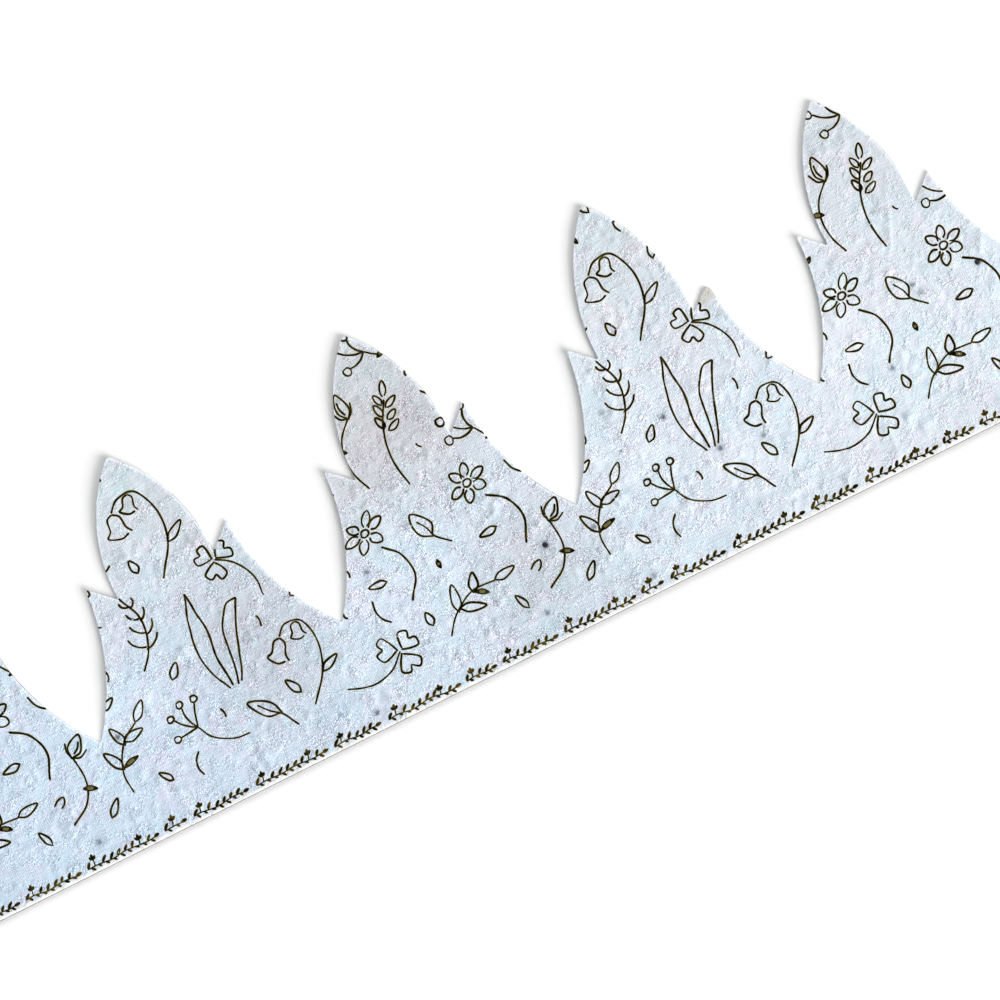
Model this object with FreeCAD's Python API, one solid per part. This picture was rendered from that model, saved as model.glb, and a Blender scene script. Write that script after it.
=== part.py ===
import FreeCAD, Part
import os
from collections import namedtuple

# A seed-paper crown before it is worn: one flat die-cut strip of thick handmade paper, with a
# row of leaf-shaped points along its upper edge, and the seeds pressed into its printed face.
# Sizes are in millimetres. X runs along the strip, Y from the band to the tips and Z up from
# the underside. The origin is the middle of the strip's footprint, on the underside.

Vector = FreeCAD.Vector

# The band that goes round the head
PITCH = 100.0  # one point, from valley to valley
BAND_HEIGHT = 43.0  # the straight lower edge up to the valleys
PAPER = 0.6  # thickness of the sheet

# A point: a pointed leaf with a barb on each side
NOTCH_RISE = 45.0  # the valleys up to the notches between the leaf and its barbs
NOTCH_SPAN = 40.0  # width of the leaf between its notches
BARB_RISE = 9.0  # the notches up to the barbs' tips
BARB_SPAN = 59.0  # one barb's tip to the other
LEAF_LENGTH = 52.0  # the notches up to the leaf's tip
LEAF_BOW = 6.0  # how far a leaf's side bows out from straight
BARB_BOW = 4.7  # how far the side under a barb bows in from straight

# Rounding that the cutting die leaves at the corners
TIP_RADIUS = 1.5
BARB_RADIUS = 0.5
INNER_RADIUS = 0.4  # valleys and notches

# The points in order along the strip, which are cut a little unevenly: shift moves the leaf and
# its barbs along the strip, longer lengthens the leaf, narrower takes width from the leaf and
# the barbs, and valley moves the valley on the point's right.
Point = namedtuple("Point", "shift longer narrower valley")
POINTS = [
    Point(shift=0.0, longer=0.0, narrower=0.0, valley=0.0),
    Point(shift=0.0, longer=-2.0, narrower=0.0, valley=1.2),
    Point(shift=-0.4, longer=-0.6, narrower=0.5, valley=0.0),
    Point(shift=1.6, longer=3.2, narrower=0.0, valley=1.8),
    Point(shift=-3.9, longer=0.0, narrower=3.4, valley=-1.0),
    Point(shift=0.0, longer=0.0, narrower=0.0, valley=0.0),
]

# One barb is worn blunt: the right-hand barb of this point
WORN_POINT = 3
WORN_RADIUS = 2.2

# The seeds: flat pointed ovals with a domed top, each resting on the floor of its own hollow
SEED_LENGTH = 2.1
SEED_WIDTH = 1.5
SEED_HEIGHT = 0.5
SEED_PROUD = 0.15  # how far a seed stands out of the sheet
SEED_CLEARANCE = 0.05  # all round, between a seed and the wall of its hollow
DOME_RADIUS = 2.4  # the rounding of a seed's top

SAME_PLACE = 0.01  # corners closer than this are one corner

# Seeds of the band: pitches along from the left end, height above the lower edge, turn in degrees
BAND_SEEDS = [
    (0.21, 24.0, 15.0),
    (0.83, 9.5, 70.0),
    (1.98, 6.7, -20.0),
    (2.72, 11.6, 35.0),
    (2.825, 34.8, -55.0),
    (3.02, 32.7, 10.0),
    (3.14, 6.1, 80.0),
    (3.745, 35.1, 50.0),
    (4.45, 29.5, -70.0),
    (5.31, 14.0, 40.0),
    (5.86, 28.5, -35.0),
]

# Seeds of the points: which point, across from its middle, height above the valleys, turn in
# degrees
POINT_SEEDS = [
    (0, -14.0, 22.0, 60.0),
    (0, 6.0, 61.0, -15.0),
    (1, -43.4, -1.1, 30.0),
    (2, -32.0, 12.5, -40.0),
    (3, -26.2, 26.7, 5.0),
    (3, -6.3, 15.1, 65.0),
    (3, 7.7, -4.9, -10.0),
    (4, -21.1, -6.8, 25.0),
    (4, -0.4, 17.7, -25.0),
    (4, 1.4, 13.6, 75.0),
    (4, 25.3, 14.6, 20.0),
    (5, -18.0, 33.0, -60.0),
    (5, 12.0, 8.0, 45.0),
]


def bowed_edge(start, end, bow):
    """An arc from start to end that bows to the left of its way by bow, or to the right if
    bow is negative."""
    way = end - start
    left = Vector(-way.y, way.x, 0)
    middle = (start + end) / 2 + left * (bow / way.Length)
    return Part.Arc(start, middle, end).toShape()


def valley_corner(index):
    """The corner where point number index begins; the one after the last point ends the strip."""
    moved = POINTS[index - 1].valley if index else 0.0
    return Vector(index * PITCH + moved, BAND_HEIGHT, 0)


def point_corners(index):
    """The corners of one point on the underside, from its left valley to its right one."""
    point = POINTS[index]
    middle = (index + 0.5) * PITCH + point.shift
    barb_reach = (BARB_SPAN - point.narrower) / 2
    notch_reach = (NOTCH_SPAN - point.narrower) / 2
    notch_height = BAND_HEIGHT + NOTCH_RISE
    barb_height = notch_height + BARB_RISE
    return [
        valley_corner(index),
        Vector(middle - barb_reach, barb_height, 0),
        Vector(middle - notch_reach, notch_height, 0),
        Vector(middle, notch_height + LEAF_LENGTH + point.longer, 0),
        Vector(middle + notch_reach, notch_height, 0),
        Vector(middle + barb_reach, barb_height, 0),
        valley_corner(index + 1),
    ]


def point_edges(index):
    """The cut line over one point: hollow side, barb, bowed leaf, barb, hollow side."""
    valley, barb, notch, tip, far_notch, far_barb, far_valley = point_corners(index)
    return [
        bowed_edge(valley, barb, -BARB_BOW),
        Part.makeLine(barb, notch),
        bowed_edge(notch, tip, LEAF_BOW),
        bowed_edge(tip, far_notch, LEAF_BOW),
        Part.makeLine(far_notch, far_barb),
        bowed_edge(far_barb, far_valley, -BARB_BOW),
    ]


def strip_outline():
    """The whole cut line: up the left end, over the points, down the right end and back."""
    upper_left = valley_corner(0)
    upper_right = valley_corner(len(POINTS))
    lower_left = Vector(upper_left.x, 0, 0)
    lower_right = Vector(upper_right.x, 0, 0)
    edges = [Part.makeLine(lower_left, upper_left)]
    for index in range(len(POINTS)):
        edges += point_edges(index)
    edges.append(Part.makeLine(upper_right, lower_right))
    edges.append(Part.makeLine(lower_right, lower_left))
    return Part.Wire(edges)


def round_corners(sheet, corners, radius):
    """Round the sheet's upright edges that stand on the given corners."""
    upright = []
    for edge in sheet.Edges:
        foot, head = sorted((vertex.Point for vertex in edge.Vertexes), key=lambda p: p.z)
        if head.z > foot.z and any(foot.isEqual(corner, SAME_PLACE) for corner in corners):
            upright.append(edge)
    return sheet.makeFillet(radius, upright)


def cut_sheet():
    """The die-cut sheet, with its corners rounded and no hollows yet."""
    sheet = Part.Face(strip_outline()).extrude(Vector(0, 0, PAPER))
    tips, barbs, inner = [], [], []
    for index in range(len(POINTS)):
        valley, barb, notch, tip, far_notch, far_barb, _ = point_corners(index)
        tips.append(tip)
        barbs.append(barb)
        inner += [notch, far_notch]
        if index:
            inner.append(valley)
        if index == WORN_POINT:
            sheet = round_corners(sheet, [far_barb], WORN_RADIUS)
        else:
            barbs.append(far_barb)
    sheet = round_corners(sheet, tips, TIP_RADIUS)
    sheet = round_corners(sheet, barbs, BARB_RADIUS)
    return round_corners(sheet, inner, INNER_RADIUS)


def seed_places():
    """Where each seed's foot stands on the floor of its hollow, with its turn."""
    floor = PAPER + SEED_PROUD - SEED_HEIGHT
    places = [(Vector(along * PITCH, height, floor), turn) for along, height, turn in BAND_SEEDS]
    for point, across, height, turn in POINT_SEEDS:
        middle = (point + 0.5) * PITCH
        places.append((Vector(middle + across, BAND_HEIGHT + height, floor), turn))
    return places


def seed_prism(place, turn, clearance):
    """An upright prism as long and wide as a seed, larger by the clearance all round. Its plan
    is two equal arcs that meet in a point at each end."""
    left = Vector(-SEED_LENGTH / 2 - clearance, 0, 0)
    right = Vector(SEED_LENGTH / 2 + clearance, 0, 0)
    bow = SEED_WIDTH / 2 + clearance
    plan = Part.Wire([bowed_edge(left, right, bow), bowed_edge(right, left, bow)])
    prism = Part.Face(plan).extrude(Vector(0, 0, SEED_HEIGHT))
    prism.rotate(Vector(0, 0, 0), Vector(0, 0, 1), turn)
    prism.translate(place)
    return prism


def seed(place, turn):
    """One seed: an upright prism whose top is rounded to a dome."""
    dome = Part.makeSphere(DOME_RADIUS, place + Vector(0, 0, SEED_HEIGHT - DOME_RADIUS))
    return seed_prism(place, turn, 0).common(dome).Solids[0]


def crown_strip():
    """The sheet with a hollow for each seed pressed into its upper face."""
    hollows = [seed_prism(place, turn, SEED_CLEARANCE) for place, turn in seed_places()]
    return cut_sheet().cut(Part.makeCompound(hollows)).Solids[0]


def main():
    strip = crown_strip()
    seeds = Part.makeCompound([seed(place, turn) for place, turn in seed_places()])
    footprint = strip.optimalBoundingBox(False, False)
    to_origin = Vector(-footprint.Center.x, -footprint.Center.y, -footprint.ZMin)
    os.makedirs("parts", exist_ok=True)
    for name, shape in (("crown_strip", strip), ("seeds", seeds)):
        shape.translate(to_origin)
        shape.exportStep(f"parts/{name}.step")
        print(name, "solids", len(shape.Solids), "valid", shape.isValid())
        print(shape.optimalBoundingBox(False, False))


main()
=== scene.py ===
import cmath
import math
import random
from collections import namedtuple
from itertools import groupby

import bmesh
import bpy
import numpy as np
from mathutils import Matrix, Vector, noise
from mathutils.bvhtree import BVHTree
from mathutils.geometry import delaunay_2d_cdt
from mathutils.kdtree import KDTree


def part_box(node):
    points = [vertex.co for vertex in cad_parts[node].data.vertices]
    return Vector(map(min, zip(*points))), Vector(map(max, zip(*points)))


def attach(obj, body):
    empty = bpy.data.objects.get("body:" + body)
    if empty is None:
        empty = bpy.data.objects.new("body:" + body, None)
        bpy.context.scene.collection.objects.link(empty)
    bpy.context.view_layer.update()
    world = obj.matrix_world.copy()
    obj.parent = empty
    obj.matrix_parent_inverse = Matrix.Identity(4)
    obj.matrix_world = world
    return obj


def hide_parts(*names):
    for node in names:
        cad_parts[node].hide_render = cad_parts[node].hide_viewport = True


# A seed-paper crown, laid flat: the handmade sheet, its seeds and the print on it.
# Lengths are in millimetres until a mesh is made. A place on the sheet is a complex number: its
# real part runs along the strip and its imaginary part from the band up to the tips.

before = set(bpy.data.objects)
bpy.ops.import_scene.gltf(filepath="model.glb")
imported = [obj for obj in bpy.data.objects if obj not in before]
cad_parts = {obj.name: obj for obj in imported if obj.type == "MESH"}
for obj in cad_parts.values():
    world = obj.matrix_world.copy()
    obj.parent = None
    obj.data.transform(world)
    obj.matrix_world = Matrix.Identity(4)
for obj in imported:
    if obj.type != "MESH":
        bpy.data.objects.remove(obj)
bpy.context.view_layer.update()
noise.seed_set(7)  # noise vectors would otherwise differ from run to run
MM = 0.001  # one millimetre in Blender's metres

low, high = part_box("crown_strip")
LOW, HIGH = complex(low.x, low.y) / MM, complex(high.x, high.y) / MM
PAPER = (high.z - low.z) / MM
BAND_HEIGHT = 43.0  # the lower edge up to the valleys
POINT_HEIGHT = 99.0  # the valleys up to the tips
PITCH = 100.0  # from one valley to the next

# Camera, straight above the sheet
CAMERA_AIM = -25.1 - 13.7j
CAMERA_TURN = -26.5  # degrees
CAMERA_HEIGHT = 1253.0
CAMERA_LENS = 120.0

# Light: soft suns, each with its elevation, the heading that it comes from in degrees from +X
# towards +Y, how many degrees it is across, and its strength
SUNS = {
    "key_light": (24.0, -60.0, 46.0, 3.9),
    "high_light": (52.0, -60.0, 36.0, 0.9),
    "fill_light": (40.0, 78.0, 52.0, 1.8),
}
SKY_STRENGTH = 0.25
FLOOR_REACH = 4000.0

# The sheet
RIM_STEP = 0.7  # between points along the cut edge
GRAIN_STEP = 0.91  # between points of the upper face
UNDERSIDE_STEP = 5.0
UNDERSIDE_RISE = 0.03  # how far the underside is moved up into the sheet
PROBE_STEP = 0.15  # between the points of the edge that depths are measured from
RELIEF_INSET = 2.5  # nearer to the edge than this, the relief is weaker
RIM_DROP = 0.12  # how far the cut presses the upper face down at its edge
RIM_INSET = 0.35  # where that rounding ends
BURR = 0.35  # how far the lower edge's foot stands out from under its top
FIBRE = 0.05  # how far fibres stand out of the cut edge
WORN_BARB = 79.0 + 23.1j  # the tip of the worn barb
WORN_REACH = 5.6  # how far the wear goes down from there

# The wires of the mould left their marks in the pulp: each row's heading in degrees from +X, the
# distance between two wires and how deep their marks are
WIRES = [(2.3, 0.79, 0.5), (-90.6, 0.70, 0.38), (-90.6, 1.40, 0.24)]

# Where the sheet is coloured greyer, and how far out
GREY_PATCHES = [(-58 + 28j, 31.0), (-128 - 22j, 30.0), (-22 - 40j, 26.0)]

# The seeds that lie bare, near these places; all others have a skin of paper over them
BARE_SEEDS = [-17.5 - 36.4j, 175.3 - 13.6j]
SEED_RINGS = (0.4, 0.8, 1.15, 1.5, 1.9, 2.4)  # radii of the rings of points round a seed
RING_STEP = 0.45  # between the points of such a ring

# The print
TILE = 200.0  # the print repeats after this length of strip
PEN = 0.58  # width of a drawn line
BORDER_PEN = 0.38
BORDER_FOOT = 0.8  # the border's lowest stroke above the lower edge
BORDER_TOP = 8.8  # the motifs begin at this height above the lower edge
LEAF_STEP = 3.0  # from leaf to leaf along the border's stem
STATION = 0.55  # between the sections of a drawn line
INK_HEIGHT = 0.055
INK_SINK = 0.03
GAP = 2.6  # between two motifs
TRIES = 900  # how many places are tried for a motif
ON_PAPER = 0.72  # the least share of a motif that lies on the paper
EMPTY = 8.7  # a spot farther than this from all ink gets a small mark


def turned(degrees):
    """The unit complex number that turns by so many degrees."""
    return cmath.rect(1, math.radians(degrees))


def held(value):
    """The value, held between 0 and 1."""
    return min(1.0, max(0.0, value))


def bell(x, power=2):
    """1 at 0 and down to nearly 0 past 1, the more steeply the higher the power."""
    return math.exp(-(x**power))


def spot(place, size=1, z=0):
    """A place as a vector. Noise that is read there has features about size millimetres across,
    and each z is a pattern of its own."""
    return Vector((place.real / size, place.imag / size, z))


def shift_at(where):
    """A smoothly changing shift about 0, as it is at that spot."""
    shift = noise.noise_vector(where)
    return complex(shift.x, shift.y)


def search_tree(places):
    tree = KDTree(len(places))
    for index, place in enumerate(places):
        tree.insert(spot(place), index)
    tree.balance()
    return tree


def add_object(name, data):
    """A new object that shows the data."""
    holder = bpy.data.objects.new(name, data)
    bpy.context.scene.collection.objects.link(holder)
    return holder


def add_camera():
    camera = bpy.data.cameras.new("camera")
    camera.lens = CAMERA_LENS
    camera.clip_start, camera.clip_end = 0.05, 50  # metres
    holder = add_object("camera", camera)
    holder.location = (CAMERA_AIM.real * MM, CAMERA_AIM.imag * MM, CAMERA_HEIGHT * MM)
    holder.rotation_euler = (0, 0, math.radians(CAMERA_TURN))
    bpy.context.scene.camera = holder


def add_light():
    """Broad soft suns, a low and a high one from the picture's lower right and one from its top,
    and an even white sky."""
    for name, (elevation, heading, size, strength) in SUNS.items():
        sun = bpy.data.lights.new(name, "SUN")
        sun.energy = strength
        sun.angle = math.radians(size)
        add_object(name, sun).rotation_euler = (0, math.radians(90 - elevation), math.radians(heading))
    world = bpy.data.worlds.new("studio")
    world.use_nodes = True
    sky = world.node_tree.nodes["Background"]
    sky.inputs["Color"].default_value = (1, 1, 1, 1)
    sky.inputs["Strength"].default_value = SKY_STRENGTH
    bpy.context.scene.world = world
    bpy.context.scene.view_settings.view_transform = "Standard"


# Materials


def linear(red, green, blue):
    """A colour given as screen values from 0 to 255, in linear light."""
    parts = []
    for value in (red / 255, green / 255, blue / 255):
        parts.append(value / 12.92 if value <= 0.04045 else ((value + 0.055) / 1.055) ** 2.4)
    return (*parts, 1)


class Nodes:
    """A new material's node tree, with short calls for the nodes that this scene uses. They take
    numbers, colours as screen values from 0 to 255, and what other calls gave."""

    def __init__(self, name, roughness, specular):
        self.material = bpy.data.materials.new(name)
        self.material.use_nodes = True
        self.tree = self.material.node_tree
        self.shader = self.tree.nodes["Principled BSDF"]
        self.put(self.shader.inputs["Roughness"], roughness)
        self.put(self.shader.inputs["Specular IOR Level"], specular)
        self.place = self.node("TexCoord", {}).outputs["Object"]

    def put(self, socket, value):
        if isinstance(value, bpy.types.NodeSocket):
            self.tree.links.new(value, socket)
        else:
            socket.default_value = linear(*value) if isinstance(value, tuple) else value

    def node(self, kind, inputs, **settings):
        """A new node of that kind, with those settings and with those inputs filled in."""
        node = self.tree.nodes.new("ShaderNode" + kind)
        for name, value in settings.items():
            setattr(node, name, value)
        for name, value in inputs.items():
            self.put(node.inputs[name], value)
        return node

    def along(self, degrees, stretch=1.0):
        """Coordinates for a pattern that is stretched along that direction on the sheet."""
        node = self.node("Mapping", {"Vector": self.place}, vector_type="TEXTURE")
        node.inputs["Rotation"].default_value = (0, 0, math.radians(degrees))
        node.inputs["Scale"].default_value = (stretch, 1, 1)
        return node.outputs["Vector"]

    def noise(self, size, detail=2.0, rough=0.55, place=None, distort=0.0):
        """Noise from 0 to 1 with features about size millimetres across."""
        inputs = {"Vector": place or self.place, "Scale": 1 / (size * MM), "Detail": detail}
        return self.node("TexNoise", inputs | {"Roughness": rough, "Distortion": distort}).outputs["Fac"]

    def ramp(self, value, low, high):
        """value, stretched so that low gives 0 and high gives 1, and held there."""
        inputs = {"Value": value, "From Min": low, "From Max": high}
        return self.node("MapRange", inputs).outputs["Result"]

    def math(self, operation, *inputs):
        return self.node("Math", dict(enumerate(inputs)), operation=operation).outputs["Value"]

    def mix(self, share, first, second, blend="MIX"):
        inputs = {"Factor": share, 6: first, 7: second}
        return self.node("Mix", inputs, data_type="RGBA", blend_type=blend).outputs[2]

    def across(self, degrees=0.0):
        """How far a place lies along that direction, in metres from the strip's middle."""
        return self.node("SeparateXYZ", {"Vector": self.along(degrees)}).outputs["X"]

    def wires(self):
        """The marks of the mould's wires, about 0."""
        total = 0.0
        shift = self.math("MULTIPLY", self.noise(5.0), 9.0)
        for heading, apart, depth in WIRES:
            angle = self.math("MULTIPLY_ADD", self.across(heading), math.tau / (apart * MM), shift)
            total = self.math("MULTIPLY_ADD", self.math("SINE", angle), depth, total)
        return total

    def attribute(self, name):
        return self.node("Attribute", {}, attribute_name=name).outputs["Fac"]

    def bump(self, height, depth, before=None):
        """Relief of that depth in millimetres, on top of the one before it."""
        inputs = {"Height": height, "Distance": depth * MM}
        if before:
            inputs["Normal"] = before
        return self.node("Bump", inputs).outputs["Normal"]

    def finish(self, colour, normal=None):
        self.put(self.shader.inputs["Base Color"], colour)
        if normal:
            self.put(self.shader.inputs["Normal"], normal)
        return self.material


def paper_material():
    """Handmade paper: bluish white with lavender and aqua clouds, full of fine fibres, with the
    fine marks of the mould's wires and a few specks of chaff."""
    nodes = Nodes("seed_paper", roughness=0.93, specular=0.15)
    # Partly painted light: the sheet is coloured brighter towards its right-hand end, as if lit more
    # strongly from there. The left end is also tinted bluer.
    colour = nodes.mix(nodes.ramp(nodes.across(), -0.26, 0.12), (206, 222, 239), (225, 234, 243))
    # Clouds: their size, how far their noise is stretched, and their tint, over 255 to brighten
    for size, low, high, tint in (
        (38, 0.42, 0.66, (259, 252, 252)),
        (15, 0.46, 0.70, (250, 255, 255)),
        (8.5, 0.36, 0.64, (245, 248, 248)),
        (4.6, 0.50, 0.70, (261, 251, 254)),
        (3.3, 0.52, 0.72, (250, 260, 257)),
        (1.7, 0.42, 0.66, (253, 255, 257)),
    ):
        cloud = nodes.ramp(nodes.noise(size), low, high)
        colour = nodes.mix(cloud, colour, tint, "MULTIPLY")
    grey = nodes.mix(nodes.ramp(nodes.across(), -0.12, 0.10), (253, 245, 237), (243, 239, 237))
    colour = nodes.mix(nodes.ramp(nodes.across(90), -0.025, 0.045), colour, grey, "MULTIPLY")
    rough = nodes.math("ADD", nodes.ramp(nodes.noise(4.5), 0.40, 0.66), 0.25)
    fibres = nodes.ramp(nodes.noise(0.36, 0.0, 0.5, nodes.along(42, 1.4)), 0.66, 0.34)
    fibres = nodes.math("POWER", fibres, 2.0)
    # The fine grain is strongest in the middle of the band and weaker towards the ends and tips
    ends = nodes.math("MULTIPLY_ADD", nodes.ramp(nodes.across(), -0.08, -0.22), -0.35, 1.3)
    fine = nodes.math("MULTIPLY_ADD", nodes.ramp(nodes.across(), -0.02, 0.11), -0.62, ends)
    tips = nodes.math("MULTIPLY_ADD", nodes.ramp(nodes.across(90), 0.0, 0.05), -0.22, 1.0)
    fine = nodes.math("MULTIPLY", nodes.math("MULTIPLY", fine, tips), rough)
    fibres = nodes.math("MULTIPLY", nodes.math("SUBTRACT", fibres, 0.30), fine)
    fibres = nodes.math("MULTIPLY_ADD", fibres, 0.50, 0.85)
    colour = nodes.mix(1.0, colour, fibres, "MULTIPLY")
    pressed = nodes.math("ADD", nodes.ramp(nodes.noise(16), 0.35, 0.62), 0.4)
    wires = nodes.math("MULTIPLY", nodes.wires(), pressed)
    colour = nodes.mix(nodes.ramp(wires, 0.3, -1.1), colour, (224, 225, 227), "MULTIPLY")
    chaff = nodes.ramp(nodes.noise(3.4, 4.0, 0.75, nodes.along(75)), 0.735, 0.80)
    colour = nodes.mix(nodes.math("MULTIPLY", chaff, 0.6), colour, (120, 104, 84))
    colour = nodes.mix(nodes.attribute("greyer_patch"), colour, (240, 234, 231), "MULTIPLY")
    # Colours from marks on the vertices. The dark brownish one is painted shadow at the foot of the lower
    # edge, plus darker patches along the rims of the right-hand flanks.
    for mark, tint in (
        ("pale_edge", (228, 234, 240)),
        ("ivory_foot", (224, 224, 220)),
        ("worn", (186, 184, 175)),
        ("dark_rim_and_foot_shadow", (112, 96, 88)),
        ("seed_stain", (42, 50, 68)),
    ):
        colour = nodes.mix(nodes.attribute(mark), colour, tint)
    folds = nodes.math("SUBTRACT", nodes.noise(2.3, 2.0, 0.5, nodes.along(36, 1.5), 0.3), 0.5)
    folds = nodes.math("MULTIPLY", nodes.math("ABSOLUTE", folds), rough)
    normal = nodes.bump(wires, 0.024, nodes.bump(folds, 1.45))
    grain = nodes.math("MULTIPLY", nodes.math("SUBTRACT", nodes.noise(0.55, 2.0, 0.6), 0.5), fine)
    return nodes.finish(colour, nodes.bump(grain, 0.31, normal))


def ink_material(name, dark, bronze):
    """Dark olive ink that shows bronze along the sides of a line and where it lies thin."""
    nodes = Nodes(name, roughness=0.7, specular=0.02)
    thin = nodes.ramp(nodes.noise(3.2, 3.0, 0.6), 0.46, 0.70)
    colour = nodes.mix(thin, dark, bronze)
    colour = nodes.mix(nodes.ramp(nodes.attribute("thin_ink"), 0.45, 0.92), colour, (206, 188, 118))
    flecks = nodes.ramp(nodes.noise(0.45, 2.0, 0.6), 0.62, 0.80)
    colour = nodes.mix(nodes.math("MULTIPLY", flecks, 0.3), colour, (116, 106, 62))
    return nodes.finish(colour, nodes.bump(nodes.noise(0.5, 3.0, 0.6), 0.02))


def seed_material():
    """Dry seed husk: dark slate with a slight shine and a few paler flecks."""
    nodes = Nodes("seed_husk", roughness=0.45, specular=0.25)
    flecks = nodes.ramp(nodes.noise(0.5, 3.0, 0.6), 0.50, 0.72)
    colour = nodes.mix(flecks, (14, 18, 30), (60, 64, 76))
    return nodes.finish(colour, nodes.bump(nodes.noise(0.3), 0.03))


def floor_material():
    """A plain white studio floor with the faintest unevenness."""
    nodes = Nodes("studio_floor", roughness=0.95, specular=0.0)
    return nodes.finish(nodes.mix(nodes.noise(400), (229, 229, 229), (230, 230, 230)))


# Meshes


def add_piece(name, vertices, faces, material, slot=None):
    """A new mesh object from vertices in millimetres."""
    mesh = bpy.data.meshes.new(name)
    mesh.from_pydata((np.asarray(vertices) * MM).tolist(), [], faces)
    mesh.materials.append(material)
    mesh.polygons.foreach_set("use_smooth", [True] * len(mesh.polygons))
    mesh.update()
    piece = add_object(name, mesh)
    if slot:
        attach(piece, "root")
    return piece


def add_marks(piece, name, values):
    """One number for each vertex, which the material reads by that name."""
    piece.data.attributes.new(name, "FLOAT", "POINT").data.foreach_set("value", values)


def add_floor():
    corners = [(x * FLOOR_REACH, y * FLOOR_REACH, 0) for x, y in ((-1, -1), (1, -1), (1, 1), (-1, 1))]
    floor = add_piece("studio_floor", corners, [(0, 1, 2, 3)], floor_material())


# The cut line


def rim_of_underside():
    """The CAD strip's cut line: the rim of its flat underside, once round with the inside left."""
    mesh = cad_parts["crown_strip"].data
    places = [complex(round(v.co.x / MM, 3), round(v.co.y / MM, 3)) for v in mesh.vertices]
    follows = {}
    for face in mesh.polygons:
        if max(mesh.vertices[i].co.z for i in face.vertices) / MM > PAPER / 4:
            continue
        ring = [places[i] for i in face.vertices]
        for start, end in zip(ring, ring[1:] + ring[:1]):
            if follows.get(end, {}).pop(start, None) is None:
                follows.setdefault(start, {})[end] = True
    follows = {start: next(iter(ends)) for start, ends in follows.items() if ends}
    first = next(iter(follows))
    rim = [first]
    while follows[rim[-1]] != first:
        rim.append(follows[rim[-1]])
    return rim[::-1]


def divided(ring, step):
    """The closed ring with more points on its sides, at most a step apart."""
    dense = []
    for start, end in zip(ring, ring[1:] + ring[:1]):
        count = max(1, math.ceil(abs(end - start) / step))
        dense += [start + (end - start) * k / count for k in range(count)]
    return np.array(dense)


def outward(ring):
    """The unit outward direction at each point of a closed ring that has its inside on the left."""
    along = np.roll(ring, -1) - np.roll(ring, 1)
    return -1j * along / np.abs(along)


class CutLine:
    """The cut edge, and how deep a place lies inside it."""

    def __init__(self):
        self.ring = divided(rim_of_underside(), RIM_STEP)
        self.out = outward(self.ring)
        self.probe = divided(list(self.ring), PROBE_STEP)
        self.probe_out = outward(self.probe)
        self.tree = search_tree(self.probe)

    def nearest(self, place):
        """The nearest point of the edge and the outward direction there."""
        index = self.tree.find(spot(place))[1]
        return self.probe[index], self.probe_out[index]

    def depth(self, place):
        """How deep a place lies inside the edge, or below 0 outside it."""
        edge, out = self.nearest(place)
        away = place - edge
        return math.copysign(abs(away), -(away * out.conjugate()).real)

    def held_inside(self, place, margin):
        """The place, or the nearest one at that margin inside the edge if it lies farther out."""
        if self.depth(place) > margin:
            return place
        edge, out = self.nearest(place)
        return edge - out * margin

    def rows(self, step, margin):
        """Places in staggered rows that keep the margin inside the edge."""
        starts, ends = self.ring, np.roll(self.ring, -1)
        places = []
        height, odd = LOW.imag + margin, 0
        while height < HIGH.imag:
            crosses = (starts.imag <= height) != (ends.imag <= height)
            a, b = starts[crosses], ends[crosses]
            at = np.sort(a.real + (b.real - a.real) * (height - a.imag) / (b.imag - a.imag))
            for left, right in zip(at[::2], at[1::2]):
                first = math.ceil((left - LOW.real) / step - odd / 2)
                along = LOW.real + (np.arange(first, first + (right - left) / step) + odd / 2) * step
                places += [complex(x, height) for x in along if x < right]
            height += step * math.sqrt(3) / 2
            odd = 1 - odd
        return [p for p in places if abs(p - self.nearest(p)[0]) > margin]


# The sheet's form


def lift(place):
    """How high the underside hangs over the floor: the sheet is a little cockled, its foot rises,
    and its points curl up towards their tips and left flanks, less so at its right-hand end."""
    wide = noise.noise(Vector((place.real / 75, place.imag / 60, 3.1)))
    cockle = 0.5 + 0.45 * wide
    up = max(0.0, (place.imag - LOW.imag - BAND_HEIGHT) / POINT_HEIGHT)
    curl = 1.5 * up * up * (1 - place.real / 330)
    across = place.real % PITCH - PITCH / 2
    left = max(0.0, -across / (PITCH / 2))
    flank = 2.55 * left * min(1.0, up * 5) * (1 - max(0.0, place.real) / 500)
    foot = 1.4 * max(0.0, 1 - (place.imag - LOW.imag) / 30) ** 2
    return max(0.0, cockle + curl + flank + foot)


# Creases: where each starts and ends, how high its ridge is and how wide
CREASES = [
    (159 + 31j, 152 + 14j, 0.30, 0.9),
    (153 + 17j, 144 - 2j, 0.36, 0.9),
    (157 + 27j, 166 + 20j, -0.24, 1.0),
    (151 + 2j, 139 - 20j, 0.22, 1.0),
    (174 + 22j, 180 + 10j, -0.22, 1.0),
    (183 - 2j, 176 - 14j, 0.26, 1.1),
    (-58 + 30j, -44 + 12j, 0.12, 1.1),
    (-48 + 38j, -40 + 26j, -0.12, 1.0),
    (36 - 8j, 66 - 22j, -0.12, 1.2),
    (50 + 34j, 44 + 18j, 0.12, 1.0),
    (-128 - 30j, -96 - 41j, 0.12, 1.2),
    (-160 + 12j, -149 + 30j, -0.12, 1.0),
]
CREASE_STEP = 0.5  # between points of the upper face at a crease
CREASE_REACH = 2.2  # how far from a crease's line it can wander
CREASE_FADE = 0.2  # how far past its ends it fades out, as a share of its length


def creases_near(place, reach):
    """Each crease within reach of a place: its ridge's height and width, at what share of its
    length the place lies, and how far off its line."""
    for start, end, ridge, width in CREASES:
        local = (place - start) * (end - start).conjugate()
        share, off = local.real / abs(end - start) ** 2, local.imag / abs(end - start)
        if -CREASE_FADE < share < 1 + CREASE_FADE and abs(off) < reach:
            yield ridge, width, share, off


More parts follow.
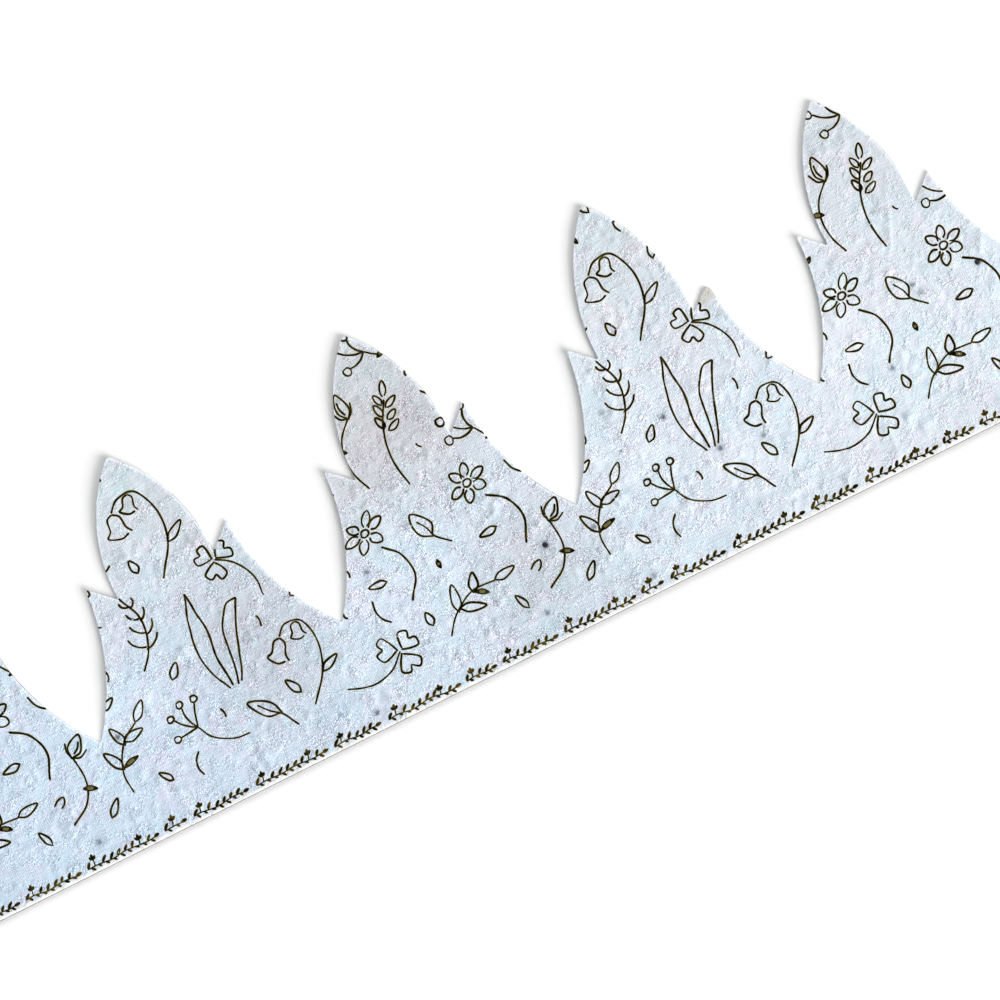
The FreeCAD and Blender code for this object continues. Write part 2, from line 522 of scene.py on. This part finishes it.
def crease_height(place):
    """The height of the creases at a place."""
    height = 0.0
    for ridge, width, share, off in creases_near(place, 3 * CREASE_REACH):
        off += 1.2 * noise.noise(spot(place, 9, 7.7))
        fade = max(0.0, 1 - abs(share - 0.5) / (0.5 + CREASE_FADE))
        height += ridge * fade * bell(off / width)
    return height


def crease_places():
    """Places in close rows along each crease."""
    places = []
    rows = int(CREASE_REACH / CREASE_STEP)
    for start, end, _, _ in CREASES:
        length = abs(end - start)
        for k in range(int((1 + 2 * CREASE_FADE) * length / CREASE_STEP)):
            for row in range(-rows, rows + 1):
                along = (k + 0.5 * (row % 2)) * CREASE_STEP - CREASE_FADE * length
                places.append(start + (end - start) / length * complex(along, row * CREASE_STEP))
    return places


def relief(place):
    """How far the upper face stands above its mean: pulp lumps, pits and creases, here strong and
    there weak."""
    p = spot(place)
    soft = noise.noise(p / 11) * 0.25
    lumps = noise.noise(p / 3.6 + Vector((9, 2, 5))) * 0.31
    fine = noise.noise(p / 2.1 + Vector((1, 7, 3))) * 0.12
    folds = abs(noise.noise(p / 4.4 + Vector((6, 1, 2)))) * 0.36
    knots = max(0.0, noise.noise(p / 3.1 + Vector((4, 4, 8))) - 0.42) * 1.4
    strength = min(2.3, max(0.3, 1 + 2.1 * noise.noise(p / 11 + Vector((3, 8, 1)))))
    return soft + (lumps + fine + folds + knots) * strength + crease_height(place)


def bodies_of(shape):
    """The vertices of each body of a mesh, in their order."""
    left = set(shape.verts)
    bodies = []
    while left:
        group, edge = set(), [min(left, key=lambda v: v.index)]
        while edge:
            vertex = edge.pop()
            if vertex not in group:
                group.add(vertex)
                edge += [e.other_vert(vertex) for e in vertex.link_edges]
        left -= group
        bodies.append(sorted(group, key=lambda v: v.index))
    return bodies


class Seeds:
    """The CAD seeds, one by one, with how each shows in the sheet."""

    def __init__(self):
        self.shape = bmesh.new()
        self.shape.from_mesh(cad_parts["seeds"].data)
        bmesh.ops.remove_doubles(self.shape, verts=self.shape.verts, dist=1e-6)
        self.shape.verts.index_update()
        self.bodies = bodies_of(self.shape)
        self.middles = []
        for body in self.bodies:
            middle = sum((v.co for v in body), Vector()) / len(body)
            self.middles.append(complex(middle.x, middle.y) / MM)
        self.tree = search_tree(self.middles)
        self.bare = {self.near(place)[0] for place in BARE_SEEDS}
        pick = random.Random(11)
        self.strength = [pick.uniform(0.55, 1.0) for _ in self.middles]

    def near(self, place):
        """The nearest seed and how far off its middle is."""
        return self.tree.find(spot(place))[1:]

    def swelling(self, place):
        """How the sheet rises over a covered seed, or sinks round a bare one."""
        index, off = self.near(place)
        if off > 4:
            return 0.0
        if index in self.bare:
            return 0.10 * bell((off - 1.6) / 0.6) - 0.3 * bell(off / 1.1, 6)
        return 0.24 * bell(off / 1.55, 4)

    def stain(self, place):
        """How dark the paper is over a seed and, more faintly, round it."""
        index, off = self.near(place)
        if off > 6:
            return 0.0
        off += 0.5 * noise.noise(spot(place, 0.9, 4))
        halo = 0.28 * bell(off / 2.1)
        if index in self.bare:
            return halo + 0.7 * bell(off / 1.35, 6)
        return (halo + 0.55 * bell(off / 1.05, 4)) * self.strength[index]

    def rings(self):
        """Places in rings round each seed, so that the sheet bends smoothly over it."""
        places = []
        for middle in self.middles:
            places.append(middle)
            for ring, radius in enumerate(SEED_RINGS):
                count = max(8, round(math.tau * radius / RING_STEP))
                for k in range(count):
                    places.append(middle + cmath.rect(radius, math.tau * (k + ring / 2) / count))
        return places


def triangles(places, ring_count):
    """Triangles over the places, inside the closed ring that the first ring_count of them make."""
    flat = [Vector((p.real, p.imag)) for p in places]
    found = delaunay_2d_cdt(flat, [], [list(range(ring_count))], 1, 1e-5)
    assert len(found[0]) == len(flat), "two places of the sheet fell together"
    return [tuple(face) for face in found[2]]


def fibre(place):
    """How far the cut edge stands out at a place, or in below 0."""
    p = spot(place)
    return FIBRE * (noise.noise(p / 1.3) + 0.8 * noise.noise(p / 0.5))


def thinned(places, apart):
    """The places without those too close to one of the last few kept."""
    kept = []
    for p in places:
        if all(abs(p - q) > apart for q in kept[-12:]):
            kept.append(p)
    return kept


def ivory_foot(place):
    above = place.imag - LOW.imag
    return 0.8 * held((1.2 - above) / 0.6)


def worn(place):
    """Strongest at the tip of the worn barb, down to an uneven line across it."""
    away = WORN_BARB - place
    down = away.imag + 0.9 * noise.noise(spot(place, 2, 1.5))
    return 0.9 * min(held((WORN_REACH - down) / 0.9), held((7.0 - abs(away)) / 1.5))


def greyer_patch(place):
    """Broad soft patches where the sheet is coloured greyer."""
    return held(sum(bell(abs(place - middle) / reach) for middle, reach in GREY_PATCHES))


class Sheet:
    """The visual sheet: its mesh, and the height of its upper face anywhere."""

    def __init__(self, line, seeds):
        self.line, self.seeds = line, seeds
        ring = line.ring + line.out * np.array([fibre(p) for p in line.ring])
        upper = list(ring) + self.upper_places()
        lower = list(ring) + line.rows(UNDERSIDE_STEP, 1.0)
        count = len(ring)
        shape = [(p, self.top(p)) for p in upper]
        shape += [(p, lift(p) + PAPER * 0.45) for p in ring]
        for p, out in zip(ring, line.out):
            shape.append((p + out * BURR * max(0.0, -out.imag) ** 4, lift(p) + UNDERSIDE_RISE))
        shape += [(p, lift(p) + UNDERSIDE_RISE) for p in lower[count:]]
        self.settled = min(z for p, z in shape)
        self.vertices = [(p.real, p.imag, z - self.settled) for p, z in shape]
        self.upper_faces = triangles(upper, count)
        middle, bottom = len(upper), len(upper) + count
        self.underside = len(lower)
        self.faces = list(self.upper_faces)
        self.faces += [tuple(bottom + i for i in reversed(face)) for face in triangles(lower, count)]
        for k in range(count):
            after = (k + 1) % count
            self.faces.append((k, middle + k, middle + after, after))
            self.faces.append((middle + k, bottom + k, bottom + after, middle + after))
        self.tree = BVHTree.FromPolygons(self.vertices, self.upper_faces)

    def upper_places(self):
        """The points of the upper face inside its rim: along the rim, round the seeds, in close
        rows at the creases and in wider ones elsewhere."""
        line, margin, off_seeds = self.line, RIM_INSET * 2, SEED_RINGS[-1]
        inset = [p for p in line.ring - line.out * RIM_INSET if line.depth(p) > RIM_INSET * 0.8]
        near_seeds = [p for p in self.seeds.rings() if line.depth(p) > margin]
        close = []
        for p in crease_places():
            if self.seeds.near(p)[1] > off_seeds + CREASE_STEP and line.depth(p) > margin:
                if all(abs(p - q) > CREASE_STEP * 0.8 for q in close):
                    close.append(p)
        grid = []
        for p in line.rows(GRAIN_STEP, margin):
            if self.seeds.near(p)[1] > off_seeds + GRAIN_STEP * 0.6:
                if not any(creases_near(p, CREASE_REACH + 0.3)):
                    shift = shift_at(Vector((p.real * 1.7, p.imag * 1.7, 5)))
                    grid.append(p + GRAIN_STEP * 0.18 * shift)
        return thinned(inset, 0.3) + near_seeds + close + grid

    def top(self, place):
        """The height of the upper face before the sheet is settled on the floor."""
        depth = self.line.depth(place)
        inside = held(depth / RELIEF_INSET)
        drop = RIM_DROP * max(0.0, 1 - max(0.0, depth) / RIM_INSET) ** 2
        over_seed = bell(self.seeds.near(place)[1] / 2.2)
        form = relief(place) * (0.4 + 0.6 * inside) * (1 - over_seed)
        return lift(place) + PAPER + form + self.seeds.swelling(place) * inside - drop

    def height(self, place):
        """The height of the finished upper face."""
        hit = self.tree.ray_cast(spot(place, z=50), Vector((0, 0, -1)))[0]
        if hit is None:
            hit = self.tree.find_nearest(spot(place, z=1))[0]
        return hit.z

    def pale_edge(self, place):
        depth = max(0.0, self.line.depth(place))
        return 0.75 * max(0.0, 1 - depth / 1.1)

    def dark_rim_and_foot_shadow(self):
        """How dark each vertex is painted: the rims of the right-hand flanks in patches, and the
        foot of the lower edge, where the dark colour is painted shadow under the edge."""
        ring, out = self.line.ring, self.line.out
        patches = []
        for p, o in zip(ring, out):
            patchy = 3.5 * noise.noise(spot(p, 15, 6))
            patches.append(max(0.0, o.real) * min(0.8, max(0.0, patchy)))
        # The foot of the lower edge is darkened as painted shadow under it.
        foot = [max(0.0, -o.imag) ** 4 for o in out]
        sides = [max(patch, 0.7 * foot_shadow) for patch, foot_shadow in zip(patches, foot)]
        inner = len(self.vertices) - self.underside - 2 * len(ring)
        return patches + [0.0] * inner + sides + foot + [0.0] * (self.underside - len(ring))


def add_sheet(sheet):
    piece = add_piece("paper_sheet", sheet.vertices, sheet.faces, paper_material(), "seed_paper")
    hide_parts("crown_strip")
    marks = {
        "pale_edge": sheet.pale_edge, "ivory_foot": ivory_foot, "worn": worn, "greyer_patch": greyer_patch,
        "seed_stain": sheet.seeds.stain,
    }
    for name, mark in marks.items():
        add_marks(piece, name, [mark(complex(x, y)) for x, y, z in sheet.vertices])
    add_marks(piece, "dark_rim_and_foot_shadow", sheet.dark_rim_and_foot_shadow())


def add_seeds(sheet):
    """The CAD seeds, each moved up with the sheet round it."""
    seeds = sheet.seeds
    vertices, faces, numbers = [], [], {}
    for body, middle in zip(seeds.bodies, seeds.middles):
        rise = lift(middle) - sheet.settled
        for vertex in body:
            numbers[vertex.index] = len(vertices)
            x, y, z = vertex.co / MM
            vertices.append((x, y, z + rise))
    for face in seeds.shape.faces:
        faces.append(tuple(numbers[v.index] for v in face.verts))
    piece = add_piece("pressed_seeds", vertices, faces, seed_material(), "seed_husk")
    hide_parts("seeds")


# Drawing. A stroke is a row of points that a smooth line goes through, with the pen's width and
# how much wider it swells in its middle. A motif gives its strokes one by one, with its foot at
# about 0 and its head above it.

Stroke = namedtuple("Stroke", "points pen swell")


def stroke(*points, pen=PEN, swell=0.0):
    return Stroke([complex(p) for p in points], pen, swell)


def bent(start, end, bow):
    """A line from start to end that bows to the left of its way by bow."""
    way = end - start
    left = 1j * way / abs(way)
    return stroke(start, start + way * 0.3 + left * bow * 0.85, start + way * 0.68 + left * bow * 0.9, end)


def outline(foot, heading, length, width, points):
    """A line from the foot along the heading. Each point says how far along it lies, as a share
    of the length, and how far to the left, as a share of half the width."""
    along = heading / abs(heading)
    side = 1j * along * width / 2
    return stroke(*[foot + along * length * ahead + side * left for ahead, left in points])


def petal(foot, heading, length, width, gap=0.3):
    """An open loop from the foot out along the heading and back."""
    return outline(foot, heading, length, width, [
        (0, -gap), (0.32, -0.95), (0.72, -0.85), (1, 0), (0.74, 0.8), (0.34, 1), (0.06, gap),
    ])


def leaf(foot, heading, length, width):
    """A pointed leaf drawn as a closed loop whose line runs past its foot a little."""
    return outline(foot, heading, length, width, [
        (0, 0), (0.3, -1), (0.75, -0.7), (1, 0), (0.68, 0.8), (0.28, 1), (-0.06, 0),
    ])


def blot(foot, heading, length, width):
    """A small leaf filled with ink."""
    along = heading / abs(heading)
    middle = foot + along * length * turned(4) * 0.5
    return stroke(foot, middle, foot + along * length, pen=0.35, swell=width)


def ring(middle, radius):
    """A small circle whose ends overlap."""
    turns = []
    for k in range(9):
        turns.append(middle + cmath.rect(radius * (1 + 0.07 * math.sin(2.1 * k)), 0.6 + math.tau * k / 7.4))
    return stroke(*turns)


def daisy(pick):
    """A daisy: loose petals round a small ring, on a long bowed stem with one leaf."""
    head = 25j
    yield ring(head, 1.5)
    for k in range(6):
        heading = turned(80 + 60 * k + pick.uniform(-9, 9))
        yield petal(head + heading * 2.2, heading, pick.uniform(4.4, 5.8), pick.uniform(3.0, 3.6))
    yield bent(head - 8.4j + 0.8, 9.5 - 6j, -5.6)
    yield leaf(9.2 + 7j, turned(40), 7.0, 2.6)


def bellflowers(pick):
    """A crook of stem with two hanging bells."""
    yield stroke(3.5 - 6j, -1.6 + 5j, -2.2 + 17j, 3.2 + 26j, 10 + 26j, 13.6 + 21.4j)
    for top, size in ((13.6 + 21j, 1.3), (6.4 + 26.2j, 0.95)):
        lean = turned(pick.uniform(-14, 14)) * size
        for side in (
            [0, -1.8 - 1.3j, -2.2 - 4.4j, -3.6 - 6.2j],
            [0, 1.8 - 1.2j, 2.1 - 4.3j, 3.3 - 6j, -7.2j, -2.4 - 6.4j],
        ):
            yield stroke(*[top + p * lean for p in side])
    yield leaf(-1.9 + 6j, turned(140), 9.0, 2.8)


def wheat(pick):
    """An ear with a few large grains, on a long bowed stalk."""
    yield bent(1.2 + 25j, -7 - 8j, 3.6)
    for k in range(3):
        foot = complex(0.2 + 0.5 * k, 12.5 + 4.5 * k)
        yield petal(foot - 0.6, turned(126), pick.uniform(5.0, 6.0), 2.2, gap=0.1)
        yield petal(foot + 0.7 + 1.2j, turned(50), pick.uniform(5.0, 6.0), 2.2, gap=0.1)
    yield petal(1.3 + 26j, turned(84), 6.2, 2.2)


def leafy_sprig(pick):
    """A bowed twig with pairs of leaves, one of them filled."""
    way, bow = 7 + 24j, 4.4
    yield bent(0j, way, bow)
    full = pick.randrange(2)
    for k, along in enumerate((0.34, 0.68)):
        foot = way * along + 1j * way / abs(way) * bow * 0.9 * math.sin(math.pi * along)
        size = pick.uniform(8.4, 9.6) - 1.4 * k
        yield leaf(foot, turned(128 - 10 * k), size, 3.0)
        if k == full:
            yield blot(foot, turned(30 - 8 * k), size * 0.75, 1.7)
        else:
            yield leaf(foot + 1j, turned(30 - 8 * k), size, 3.0)
    yield leaf(way, turned(60), 8.0, 2.8)


def umbel(pick):
    """A spray: rays from one point, each with a small round flower."""
    top = 1 + 13j
    yield bent(-5.5 - 7j, top, -3.4)
    for k in range(4):
        heading = turned(150 - 38 * k + pick.uniform(-7, 7))
        reach = pick.uniform(7.6, 10.8)
        yield bent(top, top + heading * reach, pick.uniform(-0.9, 0.9))
        yield ring(top + heading * (reach + 1.5), 1.35)


def clover(pick):
    """Three heart-shaped leaves on a long bowed stem."""
    top = -1 + 14j
    yield bent(top, 7.5 - 9j, -4.4)
    for middle in (92, 208, -26):
        out = turned(middle + pick.uniform(-8, 8)) * pick.uniform(1.35, 1.6)
        for side in (
            [(0, 0.5), (38, 3.2), (34, 5.2), (13, 5.5), (0, 4.0)],
            [(0, 4.0), (-15, 5.7), (-36, 5.0), (-38, 3.0), (0, 0.8)],
        ):
            yield stroke(*[top + out * turned(degrees) * reach for degrees, reach in side])


def bud(pick):
    """A closed bud between two sepals, on a long thin stem with a filled leaf."""
    top = 19j
    yield bent(top, 10 - 6j, 5.6)
    yield leaf(top, turned(98), 9.6, 4.8)
    for line in (
        [1.4j, 0.5 + 4.2j, -0.3 + 7j],
        [0.3, 2.8 + 1.4j, 3.9 + 5.2j],
        [-0.3, -2.7 + 1.3j, -4.6 + 4.2j],
    ):
        yield stroke(*[top + p for p in line])
    yield blot(7.9 + 9j, turned(25), 5.6, 1.7)


def frond(pick):
    """A bowed frond with single barbs on both sides, shorter to its end."""
    way, bow = 13 + 25j, 5.5
    yield bent(0j, way, bow)
    for k in range(4):
        along = 0.26 + 0.19 * k
        foot = way * along + 1j * way / abs(way) * bow * 0.92 * math.sin(math.pi * along)
        size = 7.6 - 1.1 * k
        yield bent(foot, foot + size * turned(110 - 9 * k), 1.1)
        yield bent(foot + 1j, foot + 1j + size * turned(10 - 3 * k), -1.1)


def reeds(pick):
    """Two long blades from one foot, one of them bent over."""
    yield stroke(0j, -4.2 + 10j, -4.4 + 22j, 0.4 + 37j)
    yield stroke(1.4 + 0.5j, 0.8 + 12j, 1.8 + 23j, 0.4 + 37j)
    yield stroke(3.4 + 0j, 5.6 + 10j, 7 + 19j, 12 + 27j, 17 + 28j)
    yield stroke(4.8 + 0.6j, 9 + 10j, 11.4 + 17.5j, 17 + 28j)


def berries(pick):
    """A forked twig with a berry at each end."""
    fork = 0.5 + 10j
    yield bent(6 - 8j, fork, 3.8)
    for middle, reach in ((136, 8.4), (92, 10.4), (44, 7.6)):
        tip = fork + reach * turned(middle + pick.uniform(-6, 6))
        yield bent(fork, tip, 1.2)
        yield ring(tip + 1.6 * turned(middle), 1.55)
    yield blot(1.8 + 2.5j, turned(150), 5.0, 1.6)


def veined_leaf(pick):
    """A broad leaf with a midrib that runs on into its stalk."""
    yield leaf(0j, 1j, 12.0, 5.6)
    yield stroke(2.6 - 7.5j, 0.3 - 1j, 0.4 + 3.5j, -0.2 + 8.4j)


def thin_leaf(pick):
    yield leaf(0j, 1j, pick.uniform(5.6, 8.0), pick.uniform(2.1, 3.0))


def filled_leaf(pick):
    yield blot(0j, 1j, pick.uniform(3.6, 5.0), pick.uniform(1.2, 1.6))


def tick(pick):
    yield bent(0j, 1j * pick.uniform(2.6, 4.6), pick.uniform(-0.6, 0.6))


def arch(pick):
    """A narrow arch, open below."""
    yield stroke(0j, 0.1 + 2.6j, 1.5 + 4.4j, 2.9 + 2.6j, 2.8 + 0.6j)


def tail(pick):
    """A long loose bow."""
    yield bent(0j, complex(1.0, pick.uniform(9, 13)), pick.uniform(1.6, 2.4))


def chevron(pick):
    yield stroke(-1.8 + 3j, -0.8 + 1j, 0j)
    yield stroke(0j, 1.1 + 1.1j, 2.1 + 3.4j)


# Motifs of one tile, largest first: how many, and how far each may lean to either side in degrees
BIG_MOTIFS = [
    (reeds, 1, 15), (daisy, 2, 50), (bellflowers, 2, 25), (wheat, 1, 60), (leafy_sprig, 2, 70),
    (umbel, 1, 50), (frond, 1, 80), (clover, 2, 60), (bud, 2, 60), (berries, 2, 70),
    (veined_leaf, 2, 110),
]
SMALL_MOTIFS = [thin_leaf, arch, tick, thin_leaf, tail, filled_leaf, chevron, thin_leaf, tick]


def smooth(points, step):
    """A Catmull-Rom line through the points, in steps of about that length."""
    padded = [2 * points[0] - points[1], *points, 2 * points[-1] - points[-2]]
    line = []
    for a, b, c, d in zip(padded, padded[1:], padded[2:], padded[3:]):
        count = max(2, math.ceil(abs(c - b) * 1.15 / step))
        t = np.arange(count) / count
        line.append(0.5 * (2 * b + (c - a) * t + (2 * a - 5 * b + 4 * c - d) * t**2
                           + (3 * b - a - 3 * c + d) * t**3))
    return np.append(np.concatenate(line), points[-1])


def placed(motif, at, turn, mirrored):
    """The motif's strokes, mirrored or not, turned and moved to a place."""
    moved = []
    for line in motif:
        points = [-p.conjugate() if mirrored else p for p in line.points]
        moved.append(line._replace(points=[at + turn * p for p in points]))
    return moved


def redrawn(motif, pick):
    """The motif as drawn once more by hand: a little wider or taller, and pressed unevenly."""
    wide, tall = pick.uniform(0.9, 1.15), pick.uniform(0.92, 1.12)
    lines = []
    for line in motif:
        points = [complex(p.real * wide, p.imag * tall) for p in line.points]
        lines.append(line._replace(points=points, pen=line.pen * pick.uniform(0.84, 1.12)))
    return lines


class Layout:
    """One tile of print, with a map of how far each square millimetre is from the nearest ink."""

    def __init__(self, line):
        self.pick = random.Random(2024)
        self.strokes = []
        self.low = LOW.imag + BORDER_TOP
        xs = np.arange(0, TILE, 1.0) + 0.5
        ys = np.arange(self.low, HIGH.imag, 1.0) + 0.5
        self.cells = xs[None, :] + 1j * ys[:, None]
        self.clear = np.minimum(np.abs(self.cells.imag - self.low) + 1.0, 40)
        self.paper = np.zeros(self.cells.shape, bool)
        for row, column in np.ndindex(self.cells.shape):
            for repeat in range(3):
                if line.depth(self.cells[row, column] + LOW.real + TILE * repeat) > 0:
                    self.paper[row, column] = True
        for motif, count, lean in BIG_MOTIFS:
            for _ in range(count):
                self.nestle(motif, lean)
        self.fill()

    def draw(self, strokes):
        self.strokes += strokes
        for line in strokes:
            for place in smooth(line.points, 2.0):
                across = np.abs((self.cells.real - place.real + TILE / 2) % TILE - TILE / 2)
                near = np.hypot(across, self.cells.imag - place.imag)
                np.minimum(self.clear, near, out=self.clear)

    def nestle(self, motif, lean):
        """Draws the motif where it lies on the paper and farthest from the rest."""
        best, best_worth = None, -1e9
        drawn = redrawn(list(motif(self.pick)), self.pick)
        outline = np.concatenate([smooth(line.points, 1.5) for line in drawn])
        spots = np.argwhere(self.paper & (self.clear > 5))
        for _ in range(TRIES):
            row, column = spots[self.pick.randrange(len(spots))]
            turn = turned(self.pick.uniform(-lean, lean))
            mirrored = self.pick.random() < 0.5
            shape = turn * (-outline.conjugate() if mirrored else outline)
            at = self.cells[row, column] - shape.mean()
            places = at + shape
            if places.imag.min() < self.low + 0.5:
                continue
            rows = np.clip((places.imag - self.low).astype(int), 0, self.cells.shape[0] - 1)
            columns = (places.real % TILE).astype(int) % self.cells.shape[1]
            clear = self.clear[rows, columns]
            on_paper = self.paper[rows, columns].mean()
            gap = GAP if places.imag.mean() < LOW.imag + BAND_HEIGHT else GAP * 1.5
            if clear.min() < gap or on_paper < ON_PAPER:
                continue
            worth = min(clear.min(), 8) + 0.3 * min(clear.mean(), 14) + 12 * on_paper
            if worth > best_worth:
                best, best_worth = placed(drawn, at, turn, mirrored), worth
        if best:
            self.draw(best)

    def fill(self):
        """Puts a small mark on the emptiest spot until no spot is empty."""
        for number in range(200):
            free = np.where(self.paper, self.clear, 0)
            row, column = np.unravel_index(np.argmax(free), free.shape)
            if free[row, column] < EMPTY:
                return
            drawn = list(SMALL_MOTIFS[number % len(SMALL_MOTIFS)](self.pick))
            turn = turned(self.pick.uniform(-60, 60))
            middle = np.concatenate([smooth(line.points, 1.0) for line in drawn]).mean()
            self.draw(placed(drawn, self.cells[row, column] - turn * middle, turn, False))


def blossom(foot, height):
    """A short stalk with three small petals."""
    top = foot + complex(0.5, height)
    yield stroke(foot, top, pen=BORDER_PEN)
    for heading, length in ((130, 1.9), (86, 2.3), (42, 1.9)):
        yield blot(top, turned(heading), length, 0.6)


def garland(start, length, pick):
    """A stretch of the border: a low stem with a leaf above and one below at every step, and
    here and there a blossom that stands up higher."""
    count = max(2, round(length / LEAF_STEP))
    stem = [start + complex(k * length / count, 1.45 + 0.3 * math.sin(1.4 * k)) for k in range(count + 1)]
    yield stroke(*stem, pen=BORDER_PEN)
    for k, foot in enumerate(stem[:-1]):
        lean = turned(pick.uniform(-8, 8))
        if k % 6 == 1:
            yield from blossom(foot, pick.uniform(1.6, 2.2))
        else:
            yield blot(foot, turned(47) * lean, pick.uniform(2.6, 3.4), 0.6)
        yield blot(foot + 1.2, turned(-42) * lean, pick.uniform(1.7, 2.2), 0.4)
    yield blot(stem[-1] - 0.3, turned(8), 2.6, 0.8)


def border():
    """The garland along the foot of one tile, in stretches of uneven length with small gaps."""
    pick = random.Random(5)
    along = 0.8
    while along < TILE - 6:
        length = min(pick.choice([7, 11, 16, 21, 28, 35]), TILE - 4.4 - along)
        yield from garland(complex(along, LOW.imag + BORDER_FOOT), length, pick)
        along += length + pick.uniform(4.4, 5.4)


def in_tile(place):
    """A place of the strip, moved into the first tile."""
    return complex((place.real - LOW.real) % TILE, place.imag)


def trembling(path):
    """The path with the small unsteadiness of a hand."""
    return [place + 0.45 * shift_at(spot(in_tile(place), 8, 2)) for place in path]


def widths_along(path, line):
    """The line's width at each station: uneven, and narrower at its ends."""
    widths, count = [], len(path) - 1
    for k, place in enumerate(path):
        uneven = noise.noise(spot(in_tile(place), 3.1, 9))
        end = min(abs(place - path[0]), abs(place - path[-1]))
        taper = min(1.0, 0.5 + end / 0.8)
        swell = line.swell * math.sin(math.pi * (k / count))
        widths.append((line.pen * (1 + 0.34 * uneven) + swell) * taper)
    return widths


class Pen:
    """Draws strokes on the sheet as low ridges of ink, cut off where the sheet is cut."""

    CORE = 0.52  # how far out the full ink reaches, in widths
    # Round a drawn line's section: how far out, in widths, how high above the paper, and how thin
    # the ink lies there in a narrow line and in a broad one
    SECTION = [
        (-1.02, -INK_SINK, 1.0, 1.0), (-CORE, INK_HEIGHT * 0.8, 0.45, 0.2), (-0.26, INK_HEIGHT, 0.0, 0.54),
        (0.26, INK_HEIGHT, 0.0, 0.54), (CORE, INK_HEIGHT * 0.8, 0.45, 0.2), (1.02, -INK_SINK, 1.0, 1.0),
        (0, -0.12, 0.0, 0.0),
    ]

    def __init__(self, sheet):
        self.sheet = sheet
        self.vertices, self.faces, self.thin = [], [], []

    def draw(self, line):
        length = sum(abs(b - a) for a, b in zip(line.points, line.points[1:]))
        path = trembling(smooth(line.points, min(STATION, length / 12)))
        widths = widths_along(path, line)
        on_sheet = [self.sheet.line.depth(p) > -0.3 * width for p, width in zip(path, widths)]
        for drawn, run in groupby(range(len(path)), lambda k: on_sheet[k]):
            run = list(run)
            if drawn and len(run) > 2:
                self.ribbon(path, widths, run)

    def reach(self, out, width):
        """How far a point of the section lies from the line's middle: the bronze rim outside the
        core stays narrow where the line is broad."""
        core = max(-self.CORE, min(self.CORE, out))
        return core * width + (out - core) * min(width, PEN)

    def ribbon(self, path, widths, run):
        first = len(self.vertices)
        for k in run:
            along = path[min(k + 1, len(path) - 1)] - path[max(k - 1, 0)]
            side = -1j * along / max(abs(along), 1e-9)
            broad = held((widths[k] - 1.15) / 0.6)
            for out, height, narrow_thin, broad_thin in self.SECTION:
                place = self.sheet.line.held_inside(path[k] + side * self.reach(out, widths[k]), 0.03)
                self.vertices.append((place.real, place.imag, self.sheet.height(place) + height))
                self.thin.append(narrow_thin + (broad_thin - narrow_thin) * broad)
        sides = len(self.SECTION)
        for k in range(len(run) - 1):
            for s in range(sides):
                a, b = first + k * sides + s, first + k * sides + (s + 1) % sides
                self.faces.append((a, b, b + sides, a + sides))
        last = first + (len(run) - 1) * sides
        self.faces.append(tuple(first + s for s in reversed(range(sides))))
        self.faces.append(tuple(last + s for s in range(sides)))


def add_print(sheet, name, strokes, material):
    """The tile's strokes, repeated along the strip, as one piece."""
    pen = Pen(sheet)
    for repeat in range(-1, 4):
        for line in strokes:
            moved = [p + LOW.real + TILE * repeat for p in line.points]
            if max(p.real for p in moved) > LOW.real and min(p.real for p in moved) < HIGH.real:
                pen.draw(line._replace(points=moved))
    piece = add_piece(name, pen.vertices, pen.faces, material, "print_ink")
    add_marks(piece, "thin_ink", pen.thin)


def main():
    add_camera()
    add_light()
    add_floor()
    line = CutLine()
    sheet = Sheet(line, Seeds())
    add_sheet(sheet)
    add_seeds(sheet)
    motif_ink = ink_material("motif_ink", (2, 3, 1), (48, 45, 17))
    add_print(sheet, "print_motifs", Layout(line).strokes, motif_ink)
    border_ink = ink_material("border_ink", (16, 15, 4), (84, 69, 18))
    add_print(sheet, "print_border", list(border()), border_ink)


main()
